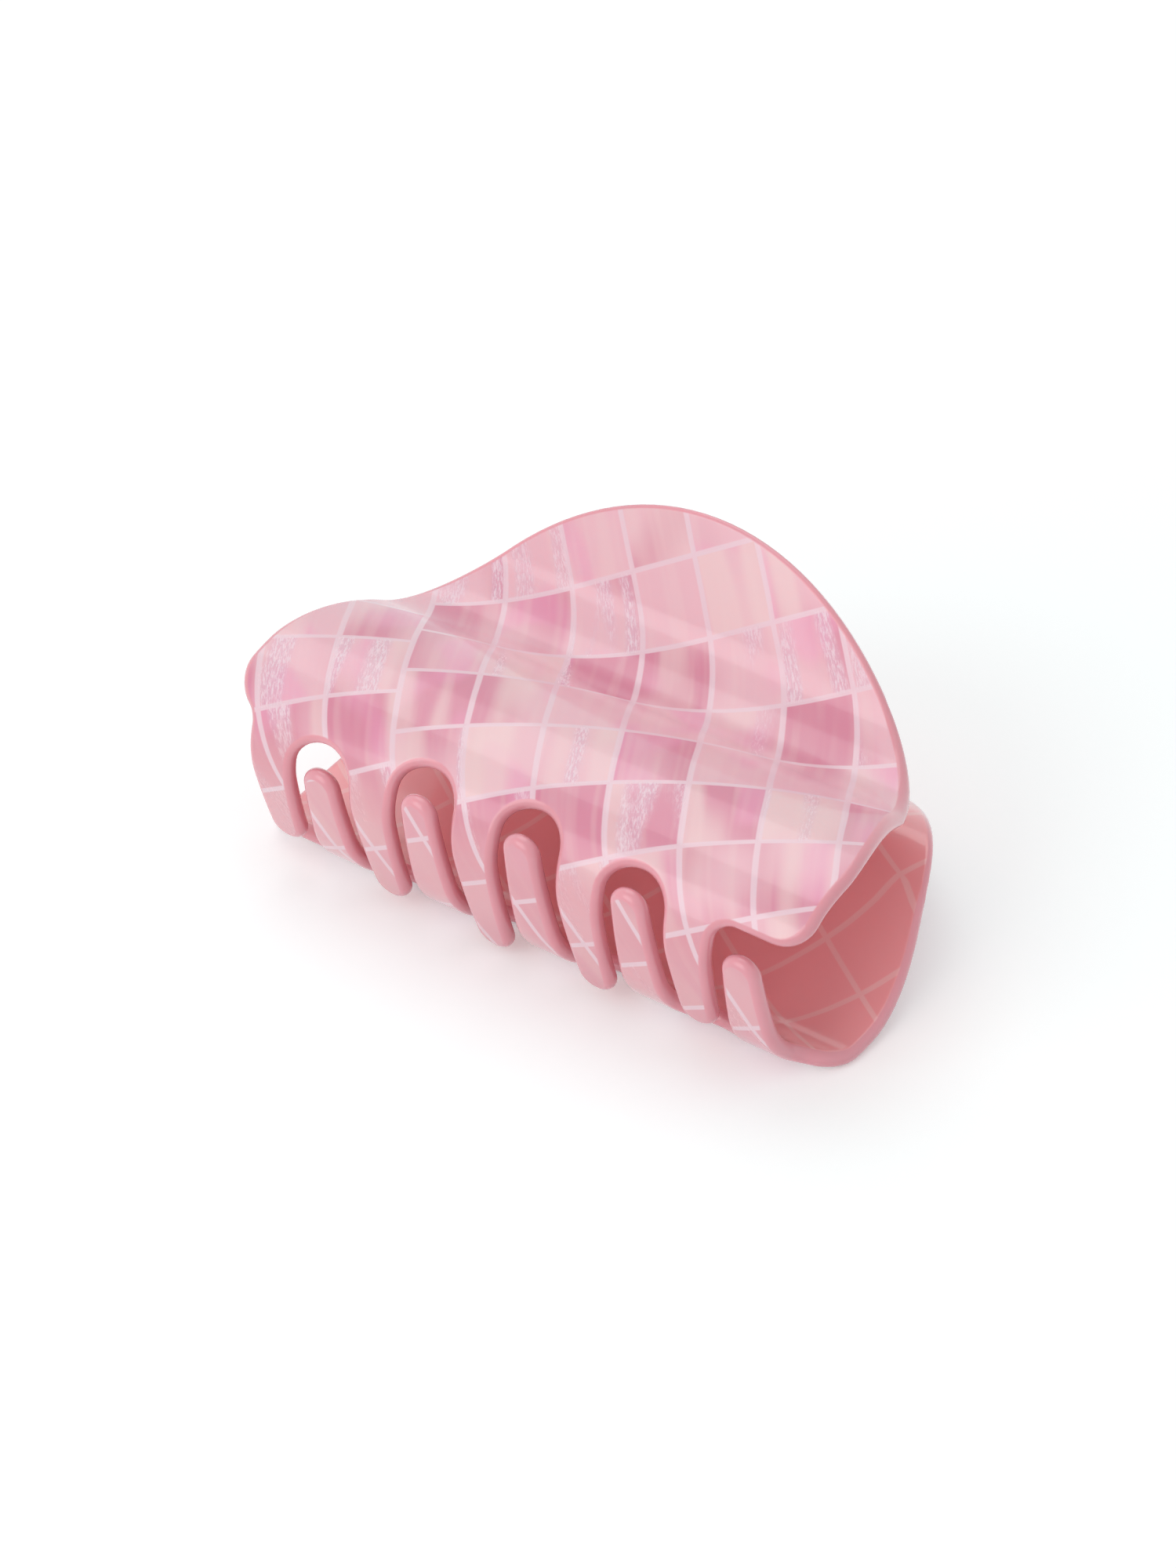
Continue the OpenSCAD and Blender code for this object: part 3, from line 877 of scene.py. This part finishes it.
class CLIP_OT_pin(bpy.types.Operator):
    """Turns the hinge pin with its domed head, and the cap on its other end"""
    bl_idname = "clip.pin"
    bl_label = "Pin and cap"

    def execute(self, context):
        h, c = settings("hinge"), settings("colours")
        steel = metal("Plated steel", c.steel, 900.0, 0.2, 0.14)
        low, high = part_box("hinge_pin")
        cap_low, cap_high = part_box("pin_cap")
        head_r = (high.z - low.z) / 2
        head_t = cap_high.x - high.x
        centre = (0, HINGE.y, HINGE.z)
        pin = [(high.x, 0), (high.x, h.pin_r), (low.x + head_t, h.pin_r)]
        pin += domed(low.x + head_t, low.x, head_r, h.head_dome)
        show("pin_with_head", turned_mesh("pin_with_head", pin, centre), "rear", "steel", steel,
             "hinge_pin")
        cap = [(high.x, 0), (high.x, h.pin_r), (cap_low.x, h.pin_r)]
        cap += domed(cap_low.x, cap_high.x, head_r, h.head_dome)
        show("domed_cap", turned_mesh("domed_cap", cap, centre), "rear", "steel", steel,
             "pin_cap")
        return {"FINISHED"}


class CLIP_OT_spring(bpy.types.Operator):
    """Winds the torsion spring, whose front leg follows the front jaw"""
    bl_idname = "clip.spring"
    bl_label = "Spring"

    def execute(self, context):
        h, c = settings("hinge"), settings("colours")
        place = lying()
        points = [place @ p for p in spring_path(settings("jaw"), h)]
        wire = metal("Spring wire", c.wire, 1400.0, 1.0, 0.2)
        mesh = wire_mesh("torsion_spring", points, h.wire / 2)
        spring = show("torsion_spring", mesh, None, "spring_wire", wire, "spring")
        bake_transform(spring)
        return {"FINISHED"}


def add_lamp(name, place, size, power):
    """A soft round lamp that shines on the middle of the floor."""
    lamp = bpy.data.lights.new(name, "AREA")
    lamp.shape = "DISK"
    lamp.size = size
    lamp.energy = power
    holder = bpy.data.objects.new(name, lamp)
    holder.location = place
    holder.rotation_euler = (-Vector(place)).to_track_quat("-Z", "Y").to_euler()
    bpy.context.scene.collection.objects.link(holder)


def white_world(strength):
    """Even light all round, which the camera, gloss and glass see as white."""
    world = bpy.data.worlds.new("Studio")
    world.use_nodes = True
    bpy.context.scene.world = world
    w = Wiring(world.node_tree)
    ground = world.node_tree.nodes["Background"]
    lit = w.math("MULTIPLY_ADD", w.looked_at(), 1 - strength, strength)
    w.join(lit, ground.inputs["Strength"])
    ground.inputs["Color"].default_value = (1, 1, 1, 1)


class CLIP_OT_stage(bpy.types.Operator):
    """Sets the white floor, the soft lamps and the camera"""
    bl_idname = "clip.stage"
    bl_label = "Stage"

    def execute(self, context):
        v = settings("view")
        bm = bmesh.new()
        bmesh.ops.create_grid(bm, x_segments=1, y_segments=1, size=v.floor / 2)
        mesh = bpy.data.meshes.new("floor")
        bm.to_mesh(mesh)
        bm.free()
        mesh.materials.append(floor_paper())
        floor = bpy.data.objects.new("floor", mesh)
        context.scene.collection.objects.link(floor)
        add_lamp("Key", KEY_PLACE, v.lamp_size, v.key)
        add_lamp("Fill", FILL_PLACE, v.lamp_size, v.fill)
        white_world(v.sky)
        self.add_camera(v)
        context.scene.view_settings.view_transform = "Standard"
        return {"FINISHED"}

    def add_camera(self, v):
        back = Vector((math.cos(v.elevation) * math.sin(v.azimuth),
                       -math.cos(v.elevation) * math.cos(v.azimuth), math.sin(v.elevation)))
        level = Vector((0, 0, 1)).cross(back).normalized()
        upright = back.cross(level)
        right = level * math.cos(v.roll) + upright * math.sin(v.roll)
        up = back.cross(right)
        camera = bpy.data.objects.new("Camera", bpy.data.cameras.new("Camera"))
        camera.data.lens = v.lens
        camera.data.clip_end = 10
        camera.matrix_world = Matrix.Translation(Vector(v.aim) + back * v.distance) @ Matrix(
            (right, up, back)).transposed().to_4x4()
        bpy.context.scene.collection.objects.link(camera)
        bpy.context.scene.camera = camera


PIECES = (CLIP_OT_jaws, CLIP_OT_lugs, CLIP_OT_pin, CLIP_OT_spring, CLIP_OT_stage)


class CLIP_PT_panel(bpy.types.Panel):
    """Lists the clip's pieces and its settings"""
    bl_idname = "CLIP_PT_panel"
    bl_label = "Claw Clip"
    bl_space_type = "VIEW_3D"
    bl_region_type = "UI"
    bl_category = "Claw Clip"

    def draw(self, context):
        for piece in PIECES:
            self.layout.operator(piece.bl_idname)
        for label, group in SETTINGS:
            box = self.layout.box()
            box.label(text=label.title())
            for key in group.__annotations__:
                box.prop(settings(label), key)


def register():
    for label, group in SETTINGS:
        bpy.utils.register_class(group)
        setattr(bpy.types.Scene, "clip_" + label, bpy.props.PointerProperty(type=group))
    for piece in PIECES + (CLIP_PT_panel,):
        bpy.utils.register_class(piece)


def unregister():
    for piece in (CLIP_PT_panel,) + PIECES[::-1]:
        bpy.utils.unregister_class(piece)
    for label, group in SETTINGS[::-1]:
        delattr(bpy.types.Scene, "clip_" + label)
        bpy.utils.unregister_class(group)


def plain(box):
    """Two corners as plain lists of numbers."""
    return [list(map(float, corner)) for corner in box]


def main():
    register()
    bpy.ops.clip.jaws()
    bpy.ops.clip.lugs()
    bpy.ops.clip.pin()
    bpy.ops.clip.spring()
    bpy.ops.clip.stage()


if __name__ == "__main__":
    main()
